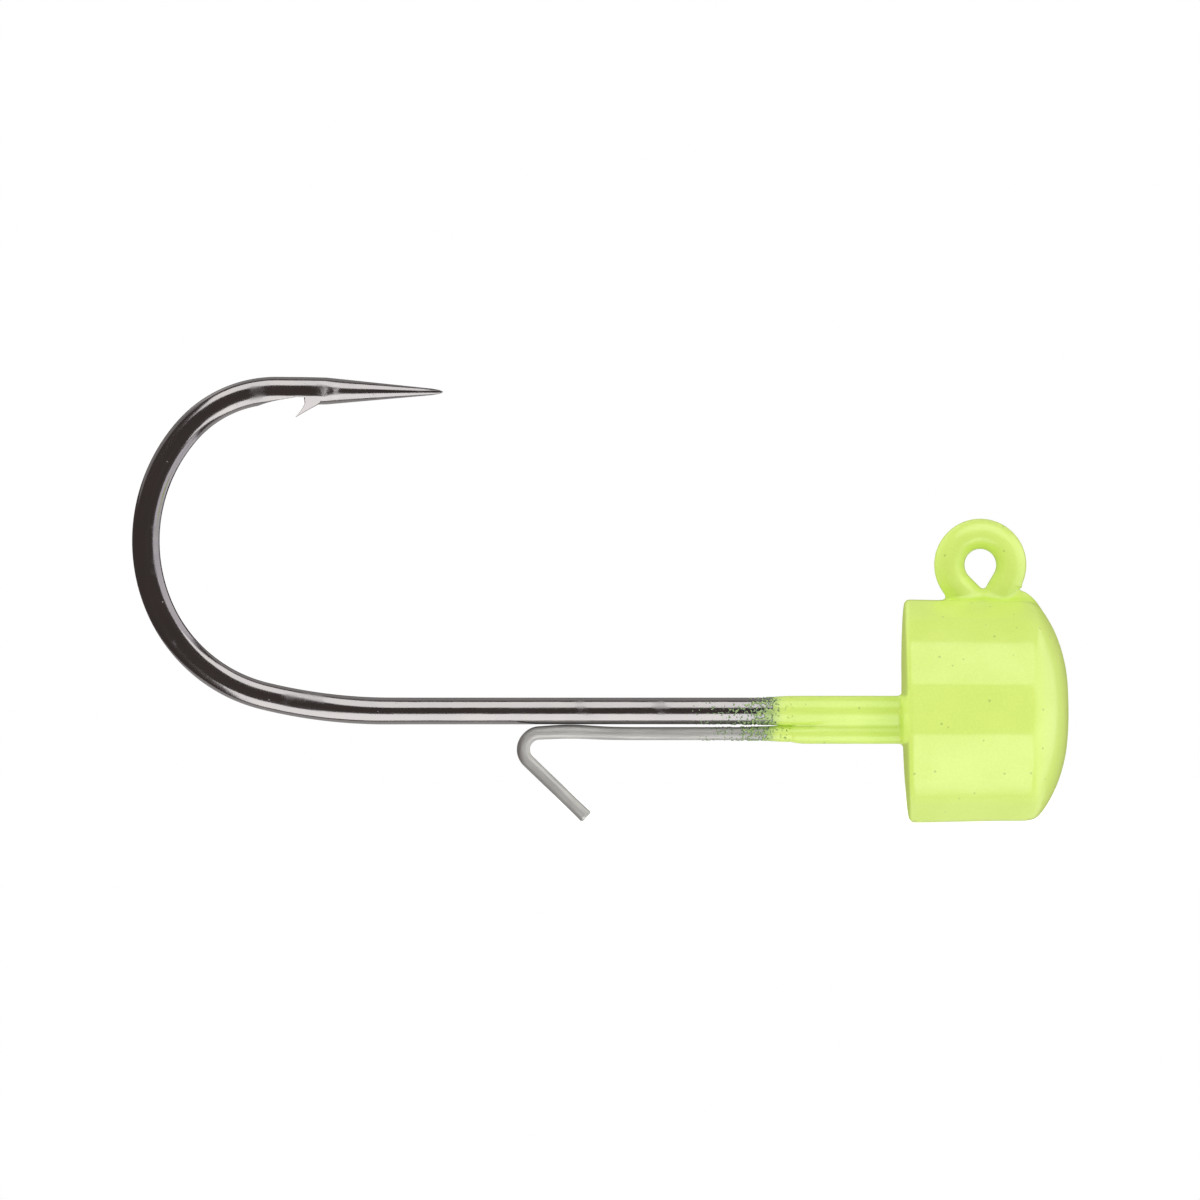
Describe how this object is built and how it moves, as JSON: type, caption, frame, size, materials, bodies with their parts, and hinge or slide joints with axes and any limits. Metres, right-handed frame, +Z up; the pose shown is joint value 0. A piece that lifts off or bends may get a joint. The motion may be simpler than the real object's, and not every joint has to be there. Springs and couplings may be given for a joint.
{
  "type": "jig head",
  "caption": "Faceted lead jig head with a barbed jig hook, a line-tie eye on top and a wire bait keeper under the shank.",
  "frame": {"origin": "centre of the bounding box in plan, at the head's lowest facet, on which the jig head stands", "axes": "+X along the hook shank to the nose, +Z up to the hook point and the line-tie eye, +Y across; both wires lie in the XZ plane"},
  "size_m": [0.0358, 0.0084, 0.017],
  "materials": {
    "black_nickel": "polished",
    "plain_wire": "satin",
    "lead_alloy": "matte",
    "chartreuse_coat": "gloss"
  },
  "bodies": {
    "root": {"hook": "black_nickel", "bait_keeper": "plain_wire", "head_casting": "lead_alloy", "powder_coat": "chartreuse_coat"}
  },
  "joints": []
}
